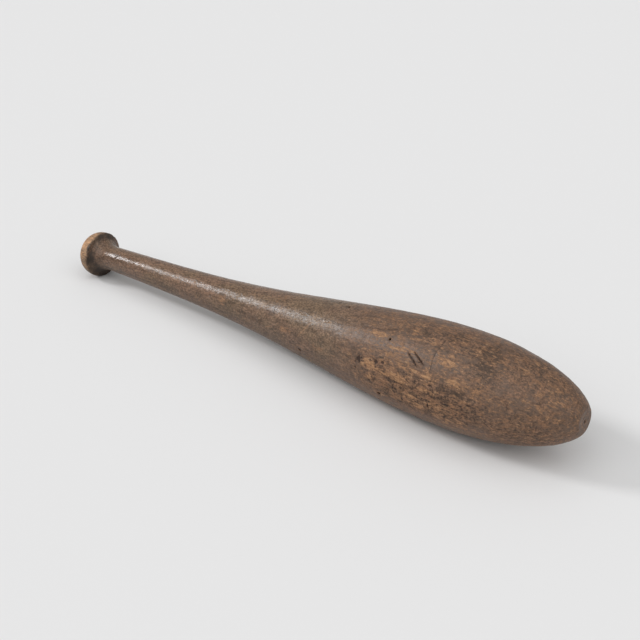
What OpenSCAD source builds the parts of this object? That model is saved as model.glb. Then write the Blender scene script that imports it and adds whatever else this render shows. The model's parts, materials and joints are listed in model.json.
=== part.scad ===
// Small turned wooden bat. Knob, handle and barrel are turned from one piece of wood.
// It lies on the floor, z = 0, on the edge of its knob and the belly of its barrel.
// The barrel points towards +X, and the origin is under the middle of the bat's box.

/* [Lengths] */
// Overall length along the bat's axis
overall_l = 346; // [320:1:400]
// Length of the rounded nose, from the widest place to the tip
nose_l = 69.5; // [55:1:85]
// Thickness of the knob along the axis
knob_t = 9.5; // [7:0.5:12]
// Length of the hollow cove between the knob and the handle
cove_l = 11; // [6:0.5:16]

/* [Diameters] */
// Diameter of the barrel at its widest
barrel_d = 53.5; // [48:0.5:64]
// Diameter of the handle at the end of the cove
handle_d = 15.5; // [12:0.5:20]
// Diameter of the knob
knob_d = 28.5; // [26:0.5:34]
// Diameter of the flat face on the knob's end
knob_flat_d = 20; // [14:0.5:22]
// Diameter of the flat face on the barrel's tip
tip_flat_d = 14; // [8:0.5:20]

/* [Rounding] */
// Radius of the knob's edge on the side of the handle
rim_round = 1; // [0.5:0.1:2]

/* [Hidden] */
$fn = 96;

// Outline points are [distance along the axis from the cove's start, radius].
knob_r = knob_d / 2;
barrel_r = barrel_d / 2;
handle_r = handle_d / 2;
rim_r = knob_r - rim_round;
widest_x = overall_l - knob_t - nose_l;

// The swell from handle to barrel: [share of the way along, share of the swell].
SWELL = [[0, 0], [0.2, 0.07], [0.35, 0.16], [0.5, 0.325], [0.65, 0.565], [0.8, 0.82], [0.9, 0.95], [1, 1]];
SWELL_START_SLOPE = 0.35;
SWELL_END_SLOPE = 0;
LAST = len(SWELL) - 1;
SPAN_STEPS = 7;
ARC_STEPS = 12;
NOSE_STEPS = 20;

// Points on an ellipse about [x, r], from one angle to another
function arc(centre, half_x, half_r, from, to, steps) = [
    for (i = [0:steps])
        let (a = from + (to - from) * i / steps)
        [centre.x + half_x * cos(a), centre.y + half_r * sin(a)]
];

// Slope of the swell at its station i
function swell_slope(i) =
    i == 0 ? SWELL_START_SLOPE :
    i == LAST ? SWELL_END_SLOPE :
    (SWELL[i + 1].y - SWELL[i - 1].y) / (SWELL[i + 1].x - SWELL[i - 1].x);

// Smooth cubic from station i to station i + 1, with t from 0 to 1
function swell_at(i, t) =
    let (span = SWELL[i + 1].x - SWELL[i].x)
    let (t2 = t * t)
    let (t3 = t2 * t)
    (2 * t3 - 3 * t2 + 1) * SWELL[i].y
    + (t3 - 2 * t2 + t) * span * swell_slope(i)
    + (3 * t2 - 2 * t3) * SWELL[i + 1].y
    + (t3 - t2) * span * swell_slope(i + 1);

// Outline point at t between station i and station i + 1
function swell_point(i, t) =
    let (along = SWELL[i].x + t * (SWELL[i + 1].x - SWELL[i].x))
    [cove_l + along * (widest_x - cove_l), handle_r + swell_at(i, t) * (barrel_r - handle_r)];

knob_bulge = knob_r - knob_flat_d / 2;
knob_side = arc([-rim_round, knob_flat_d / 2], knob_t - rim_round, knob_bulge, 180, 90, ARC_STEPS);
knob_rim = arc([-rim_round, rim_r], rim_round, rim_round, 75, 0, 5);
cove = arc([cove_l, rim_r], cove_l, rim_r - handle_r, 187.5, 262.5, 10);
swell = [for (i = [0:LAST - 1], k = [0:SPAN_STEPS - 1]) swell_point(i, k / SPAN_STEPS)];

// The nose is an ellipse, cut off by the tip's flat.
tip_angle = acos(tip_flat_d / barrel_d);
nose = arc([widest_x, 0], nose_l / sin(tip_angle), barrel_r, 90, 90 - tip_angle, NOSE_STEPS);

outline = concat([[-knob_t, 0]], knob_side, knob_rim, cove, swell, nose, [[widest_x + nose_l, 0]]);

// The axis rises towards the barrel, because the barrel is thicker than the knob.
tilt = max([for (p = swell) atan2(p.y - knob_r, p.x + rim_round)]);
lift = max([for (p = outline) p.y * cos(tilt) - p.x * sin(tilt)]);
low_x = min([for (p = outline) p.x * cos(tilt) - p.y * sin(tilt)]);
high_x = max([for (p = outline) p.x * cos(tilt) + p.y * sin(tilt)]);

// The whole bat, turned about its axis and laid down
module bat() {
    color("#6e5a48")
        translate([-(low_x + high_x) / 2, 0, lift])
            rotate([0, 90 - tilt, 0])
                rotate_extrude()
                    polygon([for (p = outline) [p.y, p.x]]);
}

bat();
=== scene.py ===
"""Looks of a small, old, turned wooden bat that lies on a pale floor.

One piece stands for the one CAD node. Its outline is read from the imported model, and its wear is
placed on it by distance from the knob's end and by angle round the axis. Places and sizes on the
bat are in millimetres and degrees: angle 0 is the top of the bat as it lies, 90 its front, -Y.
"""
import json
import math
from types import SimpleNamespace

import bmesh
import bpy
import numpy as np
from mathutils import Matrix, Vector, noise


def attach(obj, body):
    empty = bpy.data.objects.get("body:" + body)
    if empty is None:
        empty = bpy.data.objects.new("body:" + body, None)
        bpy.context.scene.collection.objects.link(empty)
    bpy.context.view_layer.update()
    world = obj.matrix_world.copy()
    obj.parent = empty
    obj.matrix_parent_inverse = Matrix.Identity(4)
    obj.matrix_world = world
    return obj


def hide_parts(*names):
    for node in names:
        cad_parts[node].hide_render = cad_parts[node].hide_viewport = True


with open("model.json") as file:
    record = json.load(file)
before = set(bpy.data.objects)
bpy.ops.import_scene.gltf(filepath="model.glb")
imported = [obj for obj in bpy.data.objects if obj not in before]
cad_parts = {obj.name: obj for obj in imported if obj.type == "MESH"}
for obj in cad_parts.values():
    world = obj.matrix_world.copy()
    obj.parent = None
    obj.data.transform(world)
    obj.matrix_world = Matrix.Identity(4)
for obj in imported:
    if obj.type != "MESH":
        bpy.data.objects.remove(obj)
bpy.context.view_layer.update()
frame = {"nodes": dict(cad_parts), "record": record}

MM = 0.001
BODY = "root"
NODE = "bat"
SEED = 11

# ---------------------------------------------------------------- camera, light and floor

# Place in metres, turn to the left and drop in degrees, lens in mm
CAMERA_PLACE = (0.334, -0.4155, 0.3388)
CAMERA_TURN = 37.67
CAMERA_DROP = 30.54
LENS = 61.9
SENSOR = 36

# Soft lights: name, direction towards the light, spread in degrees, strength and colour
WHITE = (1.0, 1.0, 1.0)
LIGHTS = [
    ("window", (-0.76, -0.35, 0.545), 13, 1.08, (0.99, 0.99, 1.0)),
    ("front_left", (-0.084, -0.664, 0.743), 50, 0.68, WHITE),
    ("front_right", (0.664, -0.084, 0.743), 50, 0.53, WHITE),
    ("overhead", (0, 0, 1), 60, 0.31, WHITE),
]
ROOM_GLOW = 0.425

FLOOR_HALF = 40.0
FLOOR_COLOUR = (0.80, 0.80, 0.80, 1)

# ---------------------------------------------------------------- wear, placed one by one

# Insect holes and dirty dents: distance along, angle, half length, half width, depth, darkness
PITS = [
    (199.5, -5.5, 0.8, 0.7, 2.0, 1.0),
    (207.5, 2, 0.9, 0.8, 2.2, 1.0),
    (244, 37.5, 0.7, 0.6, 1.8, 1.0),
    (185.5, 105, 1.1, 0.8, 2.2, 1.0),
    (242, 112.5, 1.4, 1.1, 2.0, 1.0),
    (229, 73.5, 1.5, 2.1, 0.5, 0.65),
    (231, 70.5, 0.9, 0.7, 0.3, 0.5),
    (227.5, 77, 0.8, 0.9, 0.3, 0.45),
    (240.5, 68.5, 1.3, 0.9, 0.5, 0.6),
    (244.5, 66.5, 1.1, 0.8, 0.3, 0.55),
    (248, 65, 1.0, 2.2, 0.2, 0.35),
    (259, 87.5, 2.4, 2.4, 0.35, 0.25),
    (274, 96.5, 0.6, 1.5, 0.4, 0.8),
    (274.5, 72.5, 1.1, 0.8, 0.4, 0.55),
    (237, 95, 0.9, 0.8, 0.3, 0.4),
    (240, 92, 1.1, 1.4, 0.25, 0.4),
    (249.5, 97, 1.5, 1.4, 0.3, 0.35),
    (227.5, 85, 0.9, 0.6, 0.3, 0.5),
    (258, 103.5, 0.9, 0.7, 0.3, 0.7),
    (296.5, 80.5, 1.6, 0.6, 0.3, 0.6),
    (150.5, 80.5, 2.2, 1.2, 0.15, 0.35),
    (112.5, 63.5, 1.6, 0.9, 0.15, 0.35),
    (150, 200, 0.8, 0.7, 2.0, 1.0),
    (222, 165, 0.9, 0.9, 2.0, 1.0),
    (262, 215, 0.9, 0.8, 2.0, 1.0),
    (290, 252, 0.8, 0.7, 1.8, 1.0),
    (246, 300, 0.8, 0.7, 1.8, 1.0),
    (305, 172, 0.9, 0.8, 2.0, 1.0),
    (238, 268, 1.2, 2.0, 0.5, 0.8),
    (277, 190, 1.8, 1.6, 0.35, 0.6),
    (318, 300, 1.6, 1.2, 0.4, 0.7),
]

# Gouges, drying cracks and dirty scratches: width, depth, darkness, then points along and angle
DARK_LINES = [
    (2.0, 0.6, 0.8, (257, 45.5), (261, 51.5), (265.5, 59)),
    (1.7, 0.6, 0.8, (260.5, 43), (264.5, 48.5), (269, 55)),
    (1.2, 0.3, 0.7, (264.3, 54), (267.2, 49)),
    (1.5, 0.25, 0.45, (231.5, 76), (242, 78.5), (251, 82), (263, 84), (283.5, 84.5), (298.5, 82)),
    (1.4, 0.25, 0.42, (251, 72), (262, 69), (272.5, 67.5), (283, 68), (291.5, 65), (300.5, 60.5)),
    (0.8, 0.2, 0.45, (214, 73.5), (224, 77), (228.5, 78)),
    (0.7, 0.1, 0.3, (194.5, 67.5), (205.5, 60.5)),
    (0.7, 0.1, 0.35, (211.5, 56.5), (212.5, 76)),
    (1.0, 0.2, 0.6, (273.5, 12.5), (272, 40.5), (273.2, 66.5)),
    (2.6, 0.06, 0.42, (215.5, 34), (226.5, 31.5), (236.5, 28), (251.5, 18)),
    (0.5, 0.2, 0.6, (272.5, 100.5), (276.5, 94.5)),
    (0.6, 0.3, 0.8, (180, 205), (212, 198), (240, 196)),
    (0.7, 0.3, 0.8, (240, 262), (270, 268), (300, 270)),
    (1.0, 0.45, 1.0, (212, 200), (219, 213)),
    (1.1, 0.45, 1.0, (262, 250), (270, 246)),
    (0.8, 0.3, 0.9, (180, 290), (184, 301)),
    (0.5, 0.15, 0.7, (283, 190), (276, 232)),
    (0.5, 0.12, 0.6, (200, 240), (206, 280)),
]

# Newer scratches: width, depth, paleness, then points along and angle
PALE_LINES = [
    (1.0, 0.08, 1.4, (184.5, 78.5), (188, 64.5), (192, 47)),
    (0.9, 0.06, 1.2, (158.5, 90.5), (163, 79.5)),
    (1.1, 0.04, 0.9, (162, 31.5), (161.5, 17.5), (164, 6.5)),
    (0.9, 0.06, 1.4, (182, 104), (183.5, 96), (187, 94)),
    (0.8, 0.06, 1.3, (242.5, 94), (242.5, 82)),
    (0.5, 0.06, 0.6, (135.5, 96.5), (142.5, 118)),
    (0.6, 0.06, 0.6, (238, 320), (252, 342)),
    (0.6, 0.06, 0.7, (225, 150), (238, 190)),
]

# Dents: distance along, angle, half length, half width, depth
DENTS = [
    (122.5, 56.5, 4, 3, 0.22),
    (238.5, 60.5, 9, 5, 0.3),
    (258.5, 86.5, 5, 4, 0.35),
    (147.5, 100.5, 6, 3, 0.2),
    (214.5, 29, 8, 3, 0.2),
    (284.5, 30.5, 9, 6, 0.3),
    (300, 120, 7, 6, 0.35),
    (250, 150, 8, 5, 0.3),
    (275, 260, 9, 6, 0.35),
    (310, 330, 7, 5, 0.3),
]

# Places worn to bare wood: distance along, angle, half length, half width, strength
BARE = [
    (238, 35, 5.0, 1.6, 1.0),
    (253, 46.5, 7.5, 2.0, 0.8),
    (246.5, 54.5, 6, 2.0, 0.5),
    (280, 42.5, 6, 2.6, 0.75),
    (257, 62.5, 10, 1.7, 0.55),
    (272, 65, 3.5, 1.7, 0.8),
    (287.5, 61.5, 7, 1.8, 0.75),
    (298.5, 60.5, 3, 2.2, 0.75),
    (236.5, 73.5, 4.0, 2.0, 1.0),
    (241, 77, 4.0, 1.6, 1.0),
    (247, 79, 6, 1.1, 0.9),
    (254, 76.5, 6.5, 1.8, 1.05),
    (257, 81, 4, 1.0, 0.8),
    (237.5, 90, 1.4, 2.6, 0.9),
    (264, 94, 3.5, 1.8, 0.75),
    (272.5, 79.5, 6, 1.1, 0.7),
    (277.5, 94, 4, 1.5, 0.65),
    (267.5, 101.5, 5, 2.0, 0.5),
    (255, 20, 1.6, 3.2, 0.45),
    (264.5, 25.5, 8, 2.5, 0.25),
    (248.5, 11, 9, 3.0, 0.2),
    (123, 63, 2.2, 3.2, 0.75),
    (173.5, 75.5, 4.5, 2.0, 0.65),
    (165, 12.5, 2.2, 2.0, 0.5),
    (199, 84, 4, 1.5, 0.45),
    (228.5, 100, 3, 2.0, 0.5),
    (243, 110, 2.4, 1.5, 0.5),
    (287.5, 109, 8, 4.0, 0.5),
    (235, 168, 16, 5.0, 0.8),
    (268, 205, 12, 4.0, 0.75),
    (200, 238, 12, 4.0, 0.6),
    (285, 285, 12, 5.0, 0.8),
    (240, 315, 14, 4.0, 0.7),
    (333, 40, 6, 8.0, 0.3),
    (333, 200, 7, 9.0, 0.4),
]

# Places where dirt has darkened the finish, with the same values
DARK = [
    (297.5, 22, 9, 11.0, 1.0),
    (262, 18.5, 3, 2.6, 0.8),
    (278.5, 9.5, 8, 3.5, 0.8),
    (272.5, 30.5, 14, 3.0, 0.5),
    (287.5, 73.5, 9, 2.6, 0.8),
    (245.5, 61.5, 4, 3.0, 0.5),
    (254.5, 121.5, 6, 3.0, 0.5),
    (71, 79.5, 6, 3.5, 0.5),
    (155, 78.5, 5, 2.2, 0.6),
    (139.5, 79.5, 6, 2.0, 0.5),
    (262, 175, 20, 6.0, 0.8),
    (230, 285, 18, 6.0, 0.7),
    (300, 240, 14, 8.0, 0.7),
]

# Dirt on the side of the knob that faces the handle, and painted shade over its lower part, with the same
# values
KNOB_FACE_DIRT_AND_SHADE = [
    (9.8, -35, 1.4, 7.0, 1.0),
    (9.8, 2, 1.2, 4.5, 0.85),
    (9.9, 30, 0.8, 3.0, 0.5),
    (9.2, 52, 0.9, 2.2, 0.9),
    (11.3, 42, 0.9, 2.5, 0.45),
    (10.2, 66, 1.2, 2.6, 1.0),
    (10.4, 84, 1.9, 5.0, 1.2),
    (11.4, 105, 2.6, 4.0, 0.9),
    (11.5, 138, 4.0, 7.0, 1.1),
    (11.5, 172, 5.0, 9.0, 1.2),
    (11.0, 230, 3.0, 12.0, 0.8),
]

# Places where the finish is scuffed all over, with the same values
SCUFFED = [
    (268, 90, 40, 11.5, 1.0),
    (241, 72, 13, 5.0, 0.8),
    (275, 13, 26, 8.0, 0.5),
    (300, 45, 9, 10.0, 0.5),
    (322, 110, 18, 14.0, 0.6),
    (322, 10, 18, 14.0, 0.5),
    (255, 165, 40, 16.0, 0.9),
    (280, 225, 40, 14.0, 0.9),
    (250, 290, 34, 12.0, 0.8),
    (325, 230, 20, 20.0, 0.9),
]

# Share of the finish worn off the knob's edge, by angle, and how far towards the handle it is worn
EDGE_ANGLES = [-180, -120, -70, -30, -10, 5, 20, 30, 53, 58, 72, 86, 102, 115, 135, 160, 180]
EDGE_WEAR = [0.1, 0.6, 0.3, 0.25, 0.6, 0.8, 0.75, 1.15, 1.2, 0.7, 0.95, 0.6, 0.7, 0.5, 0.3, 0.2, 0.1]
EDGE_REACH = [9, 8.8, 8.6, 8.6, 8.7, 9, 9.3, 8.9, 8.2, 8.6, 9.1, 9.1, 9.2, 9, 8.7, 8.6, 9]

# Painted shade: how much darker the bat is painted all along, by angle, most on its underside and lower
# front; it is made rougher there too
UNDERSIDE_SHADE_ANGLES = [-180, -90, -30, 50, 75, 110, 180]
UNDERSIDE_SHADE = [0.5, 0.3, 0.0, 0.0, 0.5, 1.0, 0.5]

# Where the surface changes along the bat, from and to: bumpier, duller, and less glossy in two steps
BUMPY = (60, 230)
DULL = (190, 240)
LESS_GLOSSY = (38, 62)
LEAST_GLOSSY = (130, 200)

# The hollow that the lathe's centre left in each end: radius and depth
LATHE_MARK_R = 1.5
LATHE_MARK_DEPTH = 0.8


# ---------------------------------------------------------------- the bat's own space

def mount_place(name):
    """Where the record puts a mount, as an array."""
    for mount in frame["record"]["mounts"]:
        if mount["name"] == name:
            return np.array(mount["pos_m"], float)
    raise ValueError(name)


KNOB_END = mount_place("knob_end")
TIP = mount_place("barrel_tip")
LENGTH = float(np.linalg.norm(TIP - KNOB_END))
AXIS = (TIP - KNOB_END) / LENGTH
FRONT = np.array([0.0, -1.0, 0.0])
TOP = np.cross(FRONT, AXIS)


def along_and_angle(points):
    """Each point's distance from the knob's end, in mm, its angle in degrees and its radius in mm."""
    rel = points - KNOB_END
    along = rel @ AXIS
    front = rel @ FRONT
    top = rel @ TOP
    return along / MM, np.degrees(np.arctan2(front, top)), np.hypot(front, top) / MM


# Points of the CAD mesh nearer than this along the axis, in mm, are on one station
STATION_GAP = 0.02


def cad_outline():
    """Stations of the CAD bat's side, from knob to tip: distance along and radius, in mm."""
    mesh = frame["nodes"][NODE].data
    points = np.empty(len(mesh.vertices) * 3)
    mesh.vertices.foreach_get("co", points)
    along, _, radius = along_and_angle(points.reshape(-1, 3))
    order = np.argsort(along)
    along, radius = along[order], radius[order]
    groups = np.split(np.arange(len(along)), np.nonzero(np.diff(along) > STATION_GAP)[0] + 1)
    return np.array([(along[g].mean(), radius[g].max()) for g in groups])


def smooth_line(stations, steps=12):
    """Points along a smooth cubic through the stations."""
    gaps = np.linalg.norm(np.diff(stations, axis=0), axis=1)
    travel = np.concatenate([[0], np.cumsum(gaps)])
    slope = np.gradient(stations, travel, axis=0)
    t = np.linspace(0, 1, steps, endpoint=False)[:, None]
    spans = [
        (2 * t**3 - 3 * t**2 + 1) * stations[i]
        + (t**3 - 2 * t**2 + t) * gap * slope[i]
        + (3 * t**2 - 2 * t**3) * stations[i + 1]
        + (t**3 - t**2) * gap * slope[i + 1]
        for i, gap in enumerate(gaps)
    ]
    return np.vstack(spans + [stations[-1:]])


# Length of the knob, its cove and the start of the handle, and the gaps between rings there and beyond
KNOB_ZONE = 26
KNOB_GAP = 0.5
SIDE_GAP = 0.8

# The spokes of each ring, closer together on the front
SPOKE_ANGLES = np.concatenate([np.arange(-30, 140, 1.7), np.arange(140, 330, 3.8)])

OUTLINE = cad_outline()
KNOB_FLAT = OUTLINE[0, 1]
KNOB_RADIUS = OUTLINE[OUTLINE[:, 0] < KNOB_ZONE, 1].max()


def ring_stations():
    """Distance along and radius of each ring of the mesh, from the knob's centre to the tip's centre."""
    side = smooth_line(OUTLINE)
    line = np.vstack([[side[0, 0], 0], side, [side[-1, 0], 0]])
    travel = np.concatenate([[0], np.cumsum(np.linalg.norm(np.diff(line, axis=0), axis=1))])
    knob = np.arange(KNOB_GAP, KNOB_FLAT + KNOB_ZONE, KNOB_GAP)
    rest = np.arange(knob[-1] + SIDE_GAP, travel[-1] - SIDE_GAP / 2, SIDE_GAP)
    at = np.concatenate([knob, rest])
    return np.column_stack([np.interp(at, travel, line[:, 0]), np.interp(at, travel, line[:, 1])])


RINGS = ring_stations()


def turned_mesh(stations):
    """A closed lathe mesh through the stations, as a bmesh."""
    bm = bmesh.new()
    turns = np.radians(SPOKE_ANGLES)
    spokes = [math.cos(a) * TOP + math.sin(a) * FRONT for a in turns]
    rings = [
        [bm.verts.new(KNOB_END + (along * AXIS + radius * spoke) * MM) for spoke in spokes]
        for along, radius in stations
    ]
    sides = len(spokes)
    for low, high in zip(rings, rings[1:]):
        for k in range(sides):
            n = (k + 1) % sides
            bm.faces.new((low[k], low[n], high[n], high[k]))
    for ring, centre in ((rings[0], KNOB_END), (rings[-1], TIP)):
        hub = bm.verts.new(centre)
        for k in range(sides):
            bm.faces.new((hub, ring[k], ring[(k + 1) % sides]))
    bmesh.ops.recalc_face_normals(bm, faces=bm.faces)
    return bm


# ---------------------------------------------------------------- shapes of the wear

def smooth_step(low, high, value):
    """0 at low, 1 at high, and a smooth change between."""
    t = np.clip((value - low) / (high - low), 0, 1)
    return t * t * (3 - 2 * t)


def turn_between(angle, centre):
    """The angle from centre to angle, from -180 to 180 degrees."""
    return (angle - centre + 180) % 360 - 180


def spot_distance(place, spot_along, spot_angle, half_length, half_width):
    """Distance over the surface from an oval's centre, where 1 is the oval's edge."""
    along, angle, radius = place
    across = np.radians(turn_between(angle, spot_angle)) * radius
    return np.hypot((along - spot_along) / half_length, across / half_width)


def spread(place, spots, power=2):
    """The strongest of the spots at each point, fading over each spot's edge."""
    shares = [strength * np.exp(-spot_distance(place, *spot) ** power) for *spot, strength in spots]
    return np.max(shares, axis=0)


def line_distance(place, points):
    """Distance in mm over the surface from a bent line, and the share of the way along it."""
    along, angle, radius = place
    centre = points[0][1]
    across = np.radians(turn_between(angle, centre)) * radius
    radii = [np.interp(a, RINGS[:, 0], RINGS[:, 1]) for a, _ in points]
    bends = np.array([(a, math.radians(t - centre) * r) for (a, t), r in zip(points, radii)])
    runs = np.diff(bends, axis=0)
    lengths = np.linalg.norm(runs, axis=1)
    nearest = np.full(len(along), np.inf)
    share = np.zeros(len(along))
    done = 0.0
    for start, run, length in zip(bends, runs, lengths):
        off_along = along - start[0]
        off_across = across - start[1]
        held = np.clip((off_along * run[0] + off_across * run[1]) / length**2, 0, 1)
        gap = np.hypot(off_along - held * run[0], off_across - held * run[1])
        closer = gap < nearest
        nearest = np.where(closer, gap, nearest)
        share = np.where(closer, (done + held * length) / lengths.sum(), share)
        done += length
    return nearest, share


def cut_share(place, width, points, ragged):
    """Share of a line's full depth: V-shaped across, fading at the ends, and uneven along it."""
    gap, share = line_distance(place, points)
    taper = np.sqrt(np.clip(6 * share * (1 - share), 0.05, 1)) * (0.85 + 0.4 * ragged)
    return taper * smooth_step(0, 1, 1 - gap / (width / 2 * (0.4 + 0.6 * taper)))


def pit_share(place, spot, ragged):
    """Share of a pit's full depth, with a ragged edge and a flat bottom."""
    return smooth_step(0, 0.6, 1.2 + 0.5 * ragged - spot_distance(place, *spot))


def small_dents(count, seed, low, high):
    """Small random dents all round between two places along, more of them far along."""
    rng = np.random.default_rng(seed)
    dents = []
    for _ in range(count):
        along = low + (high - low) * rng.beta(2.2, 1.1)
        size = rng.uniform(0.8, 2.6)
        angle = rng.uniform(0, 360)
        dents.append((along, angle, size * rng.uniform(1, 2), size, rng.uniform(0.04, 0.14)))
    return dents


def small_lines(count, seed, area, width, depth, darkness):
    """Random fine scratches in an area from and to places along and angles, more of them far along."""
    rng = np.random.default_rng(seed)
    low, high, first, last = area
    lines = []
    for _ in range(count):
        along = low + (high - low) * rng.beta(2.2, 1.0)
        angle = rng.uniform(first, last)
        end = (along + rng.uniform(-2, 5), angle + rng.uniform(-12, 12))
        wide = width * rng.uniform(0.7, 1.2)
        dark = darkness * rng.uniform(0.4, 1)
        lines.append((wide, depth, dark, (along, angle), end))
    return lines


def field(points, size, octaves, offset):
    """Smooth noise from about -1 to 1 at each point, with bumps about size mm across."""
    scale = 1 / (size * MM)
    shift = Vector((offset, -2 * offset, 3 * offset))
    return np.array([
        noise.fractal(Vector(p) * scale + shift, 0.8, 2.0, octaves) for p in points
    ])


# Areas of the random scratches: from and to along, from and to angle
ALL_OVER = (30, 320, 0, 360)
BELLY = (225, 305, 62, 118)

ALL_DENTS = DENTS + small_dents(150, SEED, 20, 330)
ALL_DARK_LINES = (
    DARK_LINES
    + small_lines(80, SEED + 1, ALL_OVER, 0.7, 0.1, 0.5)
    + small_lines(50, SEED + 2, BELLY, 0.8, 0.15, 0.7)
)
ALL_PALE_LINES = (
    PALE_LINES
    + small_lines(90, SEED + 3, ALL_OVER, 0.6, 0.05, 0.9)
    + small_lines(50, SEED + 4, BELLY, 0.7, 0.08, 1.0)
)

# Depths in mm: pits and lines this deep get a finer mesh, and lines this deep run straight
DEEP_PIT = 1
DEEP_LINE = 0.3
STRAIGHT_LINE = 0.5


# ---------------------------------------------------------------- building the piece

def refine(bm, reach, pits, lines):
    """Splits the faces within reach mm of the given pits and lines."""
    bm.faces.ensure_lookup_table()
    centres = np.array([f.calc_center_median() for f in bm.faces])
    place = along_and_angle(centres)
    near = np.zeros(len(centres), bool)
    for along, angle, half_length, half_width, _, _ in pits:
        near |= spot_distance(place, along, angle, 1, 1) < max(half_length, half_width) + reach
    for width, _, _, *points in lines:
        near |= line_distance(place, points)[0] < width / 2 + reach
    edges = {e for i in np.nonzero(near)[0] for e in bm.faces[i].edges}
    bmesh.ops.subdivide_edges(bm, edges=list(edges), cuts=1, use_grid_fill=True)


def refined_mesh():
    """The turned mesh, finer at the marks that are listed one by one and finer still at the deep ones."""
    bm = turned_mesh(RINGS)
    refine(bm, 0.8, PITS, DARK_LINES + PALE_LINES)
    deep_pits = [pit for pit in PITS if pit[4] > DEEP_PIT]
    deep_lines = [line for line in DARK_LINES if line[1] >= DEEP_LINE]
    refine(bm, 0.3, deep_pits, deep_lines)
    bm.normal_update()
    bm.verts.ensure_lookup_table()
    return bm


def age_depth(place, noises):
    """Depth in mm that age has taken off each point: swells, lumps, dents and a chipped knob."""
    along, _, radius = place
    on_side = smooth_step(0, 1.5, along) * smooth_step(0, 1.0, LENGTH / MM - along)
    barrel = smooth_step(*BUMPY, along)
    waves = (0.03 + 0.10 * barrel) * noises.swell + (0.04 + 0.03 * barrel) * noises.lumps
    rim = smooth_step(KNOB_RADIUS - 1.85, KNOB_RADIUS - 0.55, radius) * smooth_step(12, 9, along)
    chipped = 0.3 * smooth_step(0.3, 1.0, noises.chips + 0.3 * noises.lumps) - 0.08
    depth = on_side * waves + rim * chipped
    for *spot, deep in ALL_DENTS:
        depth += deep * np.exp(-1.8 * spot_distance(place, *spot) ** 2)
    return depth


def add_marks(place, noises, depth):
    """Adds the pits and lines to the depth, and gives the dirt and the fresh wood in them."""
    along, angle, radius = place
    wobble = np.degrees(0.5 * noises.chips / np.maximum(radius, 5))
    bent = (along + 0.5 * noises.lumps, angle + wobble, radius)
    dirt = np.zeros(len(along))
    fresh = np.zeros(len(along))
    for *spot, deep, dirty in PITS:
        share = pit_share(place, spot, noises.grit)
        depth += deep * share
        dirt = np.maximum(dirt, dirty * share)
    for width, deep, dirty, *points in ALL_DARK_LINES:
        share = cut_share(bent if deep < STRAIGHT_LINE else place, width, points, noises.grit)
        depth += deep * share
        dirt = np.maximum(dirt, dirty * share)
    for width, deep, pale, *points in ALL_PALE_LINES:
        share = cut_share(bent, width, points, noises.grit)
        depth += deep * share
        fresh = np.maximum(fresh, pale * share)

    lathe_mark = smooth_step(LATHE_MARK_R, 0.2, radius)
    depth += LATHE_MARK_DEPTH * lathe_mark
    dirt = np.maximum(dirt, 0.9 * lathe_mark)
    return dirt, fresh


def edge_wear(place, noises):
    """Share of the finish worn off the knob's edge, up to a ragged line and less on the end's flat."""
    along, angle, radius = place
    outer = smooth_step(KNOB_RADIUS - 4.05, KNOB_RADIUS - 1.65, radius + 0.9 * noises.chips)
    reach = np.interp(angle, EDGE_ANGLES, EDGE_REACH)
    reached = smooth_step(0.4, -0.4, along + 0.7 * noises.chips + 0.4 * noises.grit - reach)
    flat = smooth_step(KNOB_FLAT + 0.8, KNOB_FLAT - 0.4, radius + 0.5 * noises.chips)
    flat *= smooth_step(0.8, 0.2, along)
    return outer * reached * (1 - 0.7 * flat) * np.interp(angle, EDGE_ANGLES, EDGE_WEAR)


def wear_values(place, noises):
    """The wear, and the painted shade, at each point that the material reads, by name."""
    along, angle, _ = place
    worn = smooth_step(*DULL, along + 6 * noises.swell)
    knob_end = smooth_step(1.2, 0.3, along + 0.3 * noises.chips)
    tip_end = smooth_step(1.6, 0.6, LENGTH / MM - along + 0.3 * noises.chips)
    return {
        "bare": spread(place, BARE),
        "dark": spread(place, DARK),
        # dirt on the knob's face, and painted shade on its lower part
        "face": spread(place, KNOB_FACE_DIRT_AND_SHADE),
        "scuffed": spread(place, SCUFFED, 4),
        "edge": edge_wear(place, noises),
        "worn": worn,
        # painted shade on the underside and lower front, less on the worn barrel
        "underside_shade": np.interp(angle, UNDERSIDE_SHADE_ANGLES, UNDERSIDE_SHADE) * (1 - 0.9 * worn),
        "ends": knob_end + tip_end,
    }


def build_bat():
    """The bat with its dents, cuts and holes, and the wear and painted shade that its material reads."""
    bm = refined_mesh()
    points = np.array([v.co for v in bm.verts])
    normals = np.array([v.normal for v in bm.verts])
    place = along_and_angle(points)
    noises = SimpleNamespace(
        swell=field(points, 34, 2, 1.3),
        lumps=field(points, 5.5, 3, 5.1),
        chips=field(points, 2.6, 3, 9.7),
        grit=field(points, 1.3, 2, 3.4),
    )
    values = wear_values(place, noises)
    depth = age_depth(place, noises)
    values["dirt"], values["fresh"] = add_marks(place, noises, depth)

    for v, p in zip(bm.verts, points - normals * (depth * MM)[:, None]):
        v.co = p
    mesh = bpy.data.meshes.new("turned_bat")
    bm.to_mesh(mesh)
    bm.free()
    for name, value in values.items():
        layer = mesh.attributes.new(name, "FLOAT", "POINT")
        layer.data.foreach_set("value", value.astype(np.float32))
    mesh.polygons.foreach_set("use_smooth", [True] * len(mesh.polygons))
    piece = bpy.data.objects.new("turned_bat", mesh)
    bpy.context.scene.collection.objects.link(piece)
    return piece


# ---------------------------------------------------------------- materials

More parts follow.
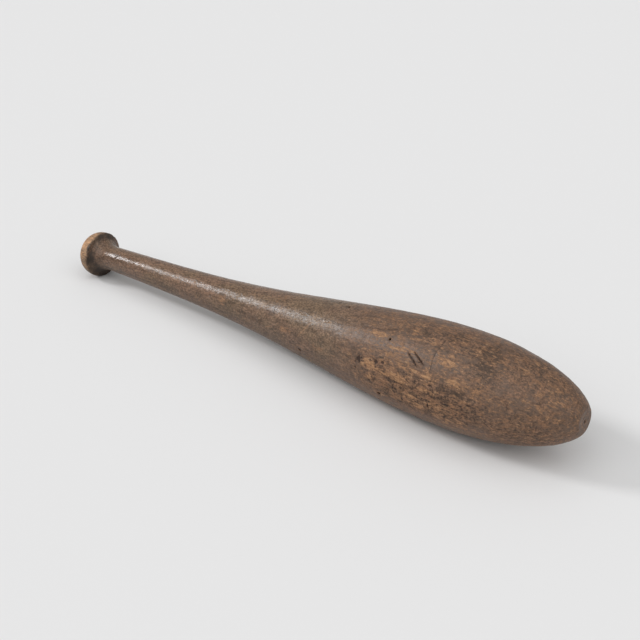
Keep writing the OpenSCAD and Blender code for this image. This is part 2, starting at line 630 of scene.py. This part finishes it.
class Shader:
    """Adds nodes to a new material one at a time, each call giving the new node's output."""

    def __init__(self, name):
        self.material = bpy.data.materials.new(name)
        self.material.use_nodes = True
        self.tree = self.material.node_tree
        self.tree.nodes.clear()

    def add(self, kind, **settings):
        """A node of a kind, with its own settings."""
        node = self.tree.nodes.new(kind)
        for key, value in settings.items():
            setattr(node, key, value)
        return node

    def feed(self, socket, value):
        """Sets a socket to a number or colour, or links it to an output."""
        if isinstance(value, bpy.types.NodeSocket):
            self.tree.links.new(value, socket)
        else:
            socket.default_value = value

    def math(self, operation, a, b=0.0):
        """a and b, added, multiplied and so on."""
        node = self.add("ShaderNodeMath", operation=operation)
        self.feed(node.inputs[0], a)
        self.feed(node.inputs[1], b)
        return node.outputs[0]

    def plus(self, total, *terms):
        """The sum of the terms."""
        for term in terms:
            total = self.math("ADD", total, term)
        return total

    def times(self, total, *factors):
        """The product of the factors."""
        for factor in factors:
            total = self.math("MULTIPLY", total, factor)
        return total

    def blend(self, share, a, b):
        """Colour a, turning into colour b as share goes to 1."""
        node = self.add("ShaderNodeMix", data_type="RGBA")
        self.feed(node.inputs["Factor"], share)
        self.feed(node.inputs[6], a)
        self.feed(node.inputs[7], b)
        return node.outputs[2]

    def shade(self, colour, tone):
        """A colour made lighter or darker by a factor."""
        node = self.add("ShaderNodeVectorMath", operation="SCALE")
        self.feed(node.inputs[0], colour)
        self.feed(node.inputs["Scale"], tone)
        return node.outputs[0]

    def step(self, value, low, high, start=0.0, end=1.0):
        """start at low, end at high, and a smooth change between."""
        node = self.add("ShaderNodeMapRange", interpolation_type="SMOOTHSTEP")
        for name, number in (("From Min", low), ("From Max", high), ("To Min", start), ("To Max", end)):
            self.feed(node.inputs[name], number)
        self.feed(node.inputs["Value"], value)
        return node.outputs[0]

    def parts(self, vector):
        """The X, Y and Z of a vector."""
        node = self.add("ShaderNodeSeparateXYZ")
        self.feed(node.inputs[0], vector)
        return node.outputs

    def noise(self, place, across, along, detail=3.0, roughness=0.6, distortion=0.0):
        """Smooth noise from 0 to 1, with marks about across mm wide and along mm long."""
        size = self.add("ShaderNodeVectorMath", operation="DIVIDE")
        self.feed(size.inputs[0], place)
        self.feed(size.inputs[1], (along, across, across))
        node = self.add("ShaderNodeTexNoise")
        self.feed(node.inputs["Vector"], size.outputs[0])
        node.inputs["Scale"].default_value = 1.0
        node.inputs["Detail"].default_value = detail
        node.inputs["Roughness"].default_value = roughness
        node.inputs["Distortion"].default_value = distortion
        return node.outputs[0]

    def wear(self, name):
        """A wear value that the mesh carries."""
        return self.add("ShaderNodeAttribute", attribute_name=name).outputs["Fac"]

    def bump(self, height):
        """The surface's direction where its height in mm varies."""
        node = self.add("ShaderNodeBump")
        node.inputs["Strength"].default_value = 1.0
        node.inputs["Distance"].default_value = MM
        self.feed(node.inputs["Height"], height)
        return node.outputs[0]

    def finish(self, colour, rough, shine, normal=None):
        """Ends the material with a plain surface of a colour, roughness and share of shine."""
        surface = self.add("ShaderNodeBsdfPrincipled")
        self.feed(surface.inputs["Base Color"], colour)
        self.feed(surface.inputs["Roughness"], rough)
        surface.inputs["IOR"].default_value = 1.5
        surface.inputs["Specular IOR Level"].default_value = shine
        if normal is not None:
            self.feed(surface.inputs["Normal"], normal)
        self.feed(self.add("ShaderNodeOutputMaterial").inputs["Surface"], surface.outputs[0])
        return self.material


def bat_space(s):
    """Place on the bat in mm: X along the axis from the knob's end, Y to the back and Z to the top."""
    node = s.add("ShaderNodeMapping", vector_type="TEXTURE")
    node.inputs["Location"].default_value = KNOB_END
    node.inputs["Rotation"].default_value = Matrix((AXIS, -FRONT, TOP)).transposed().to_euler()
    node.inputs["Scale"].default_value = (MM, MM, MM)
    s.feed(node.inputs["Vector"], s.add("ShaderNodeTexCoord").outputs["Object"])
    return node.outputs[0]


# Year rings, in mm: the gap between two, and the place of the tree's pith to the back and above
RING_GAP = 2.4
PITH_BACK = 26.0
PITH_TOP = -15.0


def year_rings(s, place):
    """Thin lines of late wood: rings about a pith that runs beside the bat, at a small lean."""
    along, back, top = s.parts(place)
    wander = s.times(s.noise(place, 14, 70, 2.0), 5.0)
    across = s.plus(s.times(along, 0.05), back, wander, -PITH_BACK)
    up = s.plus(top, -PITH_TOP)
    reach = s.math("SQRT", s.plus(s.times(across, across), s.times(up, up)))
    return s.step(s.math("SINE", s.times(reach, math.tau / RING_GAP)), 0.3, 1.0)


OLIVE_STAIN = (0.158, 0.102, 0.062, 1)
RED_STAIN = (0.175, 0.104, 0.067, 1)
BROWN_STAIN = (0.130, 0.070, 0.041, 1)
RUBBED_WOOD = (0.225, 0.117, 0.060, 1)
GLAZE = (0.140, 0.094, 0.069, 1)
CHIPPED_WOOD = (0.215, 0.106, 0.057, 1)
DULL_WOOD = (0.270, 0.175, 0.105, 1)
BARE_WOOD = (0.370, 0.190, 0.090, 1)
PALE_WOOD = (0.440, 0.250, 0.125, 1)
EDGE_WOOD = (0.520, 0.295, 0.160, 1)
DARK_DIRT_AND_SHADE = (0.034, 0.024, 0.018, 1)
RED_DIRT = (0.046, 0.026, 0.014, 1)
PIT_DIRT = (0.032, 0.015, 0.009, 1)
VARNISH_SHINE = 0.38
FLOOR_SHINE = 0.1


def wood_marks(s, place):
    """The noises and the wear that the parts of the wood's material share."""
    worn = s.wear("worn")
    return SimpleNamespace(
        broad=s.noise(place, 16, 34, 3.0),
        mottle=s.noise(place, 3.2, 5.5, 4.0, 0.65, 0.5),
        blotch=s.noise(place, 3.0, 6.5, 4.0, 0.6, 0.8),
        chip=s.noise(place, 2.0, 4.6, 3.0, 0.62, 1.0),
        fleck=s.noise(place, 0.9, 1.2, 3.0, 0.65, 0.4),
        tick=s.noise(place, 3.0, 0.9, 2.0, 0.6),
        streak=s.noise(place, 1.2, 26, 4.0),
        grain=s.noise(place, 0.55, 15, 3.0, 0.6),
        fibre=s.noise(place, 0.35, 9, 3.0),
        pore=s.noise(place, 0.5, 3.0, 3.0, 0.7),
        rings=year_rings(s, place),
        worn=worn,
        scuffed=s.times(s.wear("scuffed"), worn),
    )


def wood_tone(s, marks):
    """How light the wood is at each point, about 1: mottled and streaked, with end grain on both ends and
    painted shade on the underside.
    """
    tone = s.plus(
        s.step(marks.mottle, 0.25, 0.75, 0.82, 1.18),
        s.step(marks.fleck, 0.38, 0.62, -0.40, 0.40),
        s.times(marks.worn, s.step(marks.blotch, 0.32, 0.68, -0.25, 0.25)),
        s.times(marks.scuffed, s.step(marks.tick, 0.3, 0.7, -0.2, 0.2)),
        s.times(marks.scuffed, s.step(marks.fleck, 0.4, 0.6, -0.25, 0.25)),
    )
    tone = s.times(
        tone,
        s.step(marks.streak, 0.3, 0.65, 0.84, 1.1),
        s.step(marks.grain, 0.35, 0.62, 0.82, 1.12),
        s.step(marks.rings, 0.0, 1.0, 1.03, 0.84),
        # painted shade: darker on the underside and lower front
        s.step(s.wear("underside_shade"), 0.0, 1.0, 1.0, 0.72),
    )
    end_tone = s.times(
        s.step(marks.rings, 0.0, 1.0, 1.0, 0.6),
        s.step(marks.pore, 0.3, 0.7, 0.6, 1.15),
    )
    return s.plus(tone, s.times(s.wear("ends"), s.math("SUBTRACT", end_tone, tone)))


def stained_wood(s, place, marks, tone):
    """The stained finish, glazed on the barrel, chipped where it is scuffed, and dirty in places."""
    stain = s.blend(s.step(marks.broad, 0.35, 0.65), OLIVE_STAIN, RED_STAIN)
    stain = s.blend(s.step(marks.worn, 0.0, 1.0, 0.0, 0.85), stain, BROWN_STAIN)
    colour = s.shade(stain, tone)
    whole = s.math("SUBTRACT", marks.worn, marks.scuffed)
    colour = s.blend(s.times(whole, s.step(marks.blotch, 0.62, 0.42, 0.0, 0.6)), colour, GLAZE)
    chipped = s.times(marks.scuffed, s.step(marks.chip, 0.51, 0.61, 0.0, 0.75))
    colour = s.blend(chipped, colour, CHIPPED_WOOD)
    dented = s.times(marks.scuffed, s.step(marks.chip, 0.47, 0.36, 0.0, 0.6))
    colour = s.blend(dented, colour, RED_DIRT)
    dirt_break = s.noise(place, 1.8, 4.5, 4.0, 0.7, 0.4)
    dark = s.plus(s.wear("dark"), s.step(dirt_break, 0.3, 0.7, -0.45, 0.45))
    return s.blend(s.step(dark, 0.25, 0.8, 0.0, 0.6), colour, RED_DIRT)


def add_bare_wood(s, marks, tone, jagged, colour):
    """The colour with its patches of rubbed and bare wood, and the share of bare wood."""
    wood = s.blend(s.step(marks.fibre, 0.35, 0.65), BARE_WOOD, PALE_WOOD)
    wood = s.blend(s.step(marks.streak, 0.55, 0.4, 0.0, 0.5), wood, RUBBED_WOOD)
    wood = s.shade(wood, s.step(tone, 0.6, 1.4, 0.8, 1.15))
    torn = s.plus(jagged, s.times(marks.worn, s.step(marks.chip, 0.36, 0.62, -0.35, 0.35)))
    bare = s.plus(s.wear("bare"), torn, s.times(marks.worn, 0.12))
    bare_share = s.step(bare, 0.55, 0.9, 0.0, 0.8)
    colour = s.blend(s.step(bare, 0.2, 0.6, 0.0, 0.8), colour, RUBBED_WOOD)
    return s.blend(bare_share, colour, wood), bare_share


def add_edge_wood(s, place, tone, jagged, colour):
    """The colour with the bare wood of the knob's edge, and the share of that wood."""
    edge = s.plus(s.wear("edge"), s.times(jagged, 0.75))
    edge_share = s.step(edge, 0.2, 0.5, 0.0, 0.95)
    edge_grain = s.noise(place, 0.9, 6.0, 3.0, 0.65, 0.6)
    edge_tone = s.times(s.step(tone, 0.6, 1.4, 0.8, 1.2), s.step(edge_grain, 0.35, 0.6, 0.66, 1.12))
    wood = s.shade(s.blend(s.step(edge, 0.55, 1.15), DULL_WOOD, EDGE_WOOD), edge_tone)
    return s.blend(edge_share, colour, wood), edge_share


def add_dirt(s, marks, colour):
    """The colour with the dirt and painted shade on the knob's face, the dirt in the pits and cuts, and the
    pale scratches.
    """
    # dirt on the knob's face, and painted shade on its lower part
    face = s.times(s.wear("face"), s.step(marks.mottle, 0.3, 0.65, 1.15, 0.7))
    colour = s.blend(s.math("MINIMUM", face, 0.95), colour, DARK_DIRT_AND_SHADE)
    colour = s.blend(s.times(s.wear("fresh"), 0.4), colour, BARE_WOOD)
    return s.blend(s.step(s.wear("dirt"), 0.05, 0.65, 0.0, 0.95), colour, PIT_DIRT)


def wood_roughness(s, place, marks, dull):
    """Glossy on the handle and most of all by the knob, dull where worn, scuffed, bare or dirty."""
    along = s.parts(place)[0]
    rough = s.plus(
        s.step(along, *LESS_GLOSSY, 0.14, 0.26),
        s.step(along, *LEAST_GLOSSY, 0.0, 0.05),
        s.step(marks.mottle, 0.3, 0.7, -0.02, 0.08),
        s.times(marks.worn, 0.12),
        s.times(marks.scuffed, 0.24),
        # rougher where the underside is painted in shade
        s.times(s.wear("underside_shade"), 0.2),
        s.times(s.wear("face"), 0.35),
    )
    rough = s.math("MAXIMUM", rough, s.times(dull, 0.75))
    return s.math("MAXIMUM", rough, s.times(s.wear("dirt"), 0.9))


def wood_relief(s, place, marks, dull):
    """The fine height of the surface in mm: brush marks and orange peel in the varnish, and the grain."""
    ripple = s.noise(place, 4.5, 2.0, 2.0, 0.5)
    pebble = s.noise(place, 1.4, 1.7, 2.0, 0.5)
    relief = s.plus(
        s.times(pebble, 0.15),
        s.times(ripple, 0.22),
        s.times(marks.fibre, 0.03),
        s.times(marks.fleck, 0.03),
        s.times(marks.streak, 0.04),
        s.times(marks.scuffed, marks.chip, 0.15),
    )
    return s.math("SUBTRACT", relief, s.times(dull, 0.06))


def old_wood():
    """Stained and varnished wood, glossy on the handle, dull on the barrel, worn to bare wood in places."""
    s = Shader("old_stained_wood")
    place = bat_space(s)
    marks = wood_marks(s, place)
    bare_break = s.noise(place, 0.85, 3.0, 5.0, 0.72, 0.5)
    jagged = s.plus(
        s.step(bare_break, 0.3, 0.7, -0.5, 0.5),
        s.step(marks.tick, 0.3, 0.7, -0.12, 0.12),
    )

    tone = wood_tone(s, marks)
    colour = stained_wood(s, place, marks, tone)
    colour, bare_share = add_bare_wood(s, marks, tone, jagged, colour)
    colour, edge_share = add_edge_wood(s, place, tone, jagged, colour)
    colour = add_dirt(s, marks, colour)
    dull = s.math("MAXIMUM", bare_share, edge_share)
    rough = wood_roughness(s, place, marks, dull)
    return s.finish(colour, rough, VARNISH_SHINE, s.bump(wood_relief(s, place, marks, dull)))


# ---------------------------------------------------------------- stage, light and camera

def build_floor():
    """A wide, flat, matte and very pale floor under the bat."""
    mesh = bpy.data.meshes.new("floor")
    corners = [(x * FLOOR_HALF, y * FLOOR_HALF, 0) for x, y in ((-1, -1), (1, -1), (1, 1), (-1, 1))]
    mesh.from_pydata(corners, [], [(0, 1, 2, 3)])
    mesh.materials.append(Shader("pale_floor").finish(FLOOR_COLOUR, 0.9, FLOOR_SHINE))
    floor = bpy.data.objects.new("floor", mesh)
    bpy.context.scene.collection.objects.link(floor)


def build_light():
    """A window to the left, soft lights in front and overhead, and the even glow of a pale room."""
    world = bpy.data.worlds.new("pale_room")
    world.use_nodes = True
    glow = world.node_tree.nodes["Background"]
    glow.inputs["Color"].default_value = (*WHITE, 1)
    glow.inputs["Strength"].default_value = ROOM_GLOW
    bpy.context.scene.world = world
    for name, towards, spread_angle, strength, colour in LIGHTS:
        data = bpy.data.lights.new(name, "SUN")
        data.angle = math.radians(spread_angle)
        data.energy = strength
        data.color = colour
        light = bpy.data.objects.new(name, data)
        light.rotation_euler = Vector(towards).to_track_quat("Z", "Y").to_euler()
        bpy.context.scene.collection.objects.link(light)


def build_camera():
    """The camera, looking down on the bat from its barrel's side."""
    data = bpy.data.cameras.new("camera")
    data.lens = LENS
    data.sensor_width = SENSOR
    camera = bpy.data.objects.new("camera", data)
    camera.location = CAMERA_PLACE
    camera.rotation_euler = (math.radians(90 - CAMERA_DROP), 0, math.radians(CAMERA_TURN))
    bpy.context.scene.collection.objects.link(camera)
    bpy.context.scene.camera = camera


build_camera()
build_light()
build_floor()
bpy.context.scene.view_settings.view_transform = "Standard"

bat = build_bat()
bat.data.materials.append(old_wood())
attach(bat, BODY)
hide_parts(NODE)
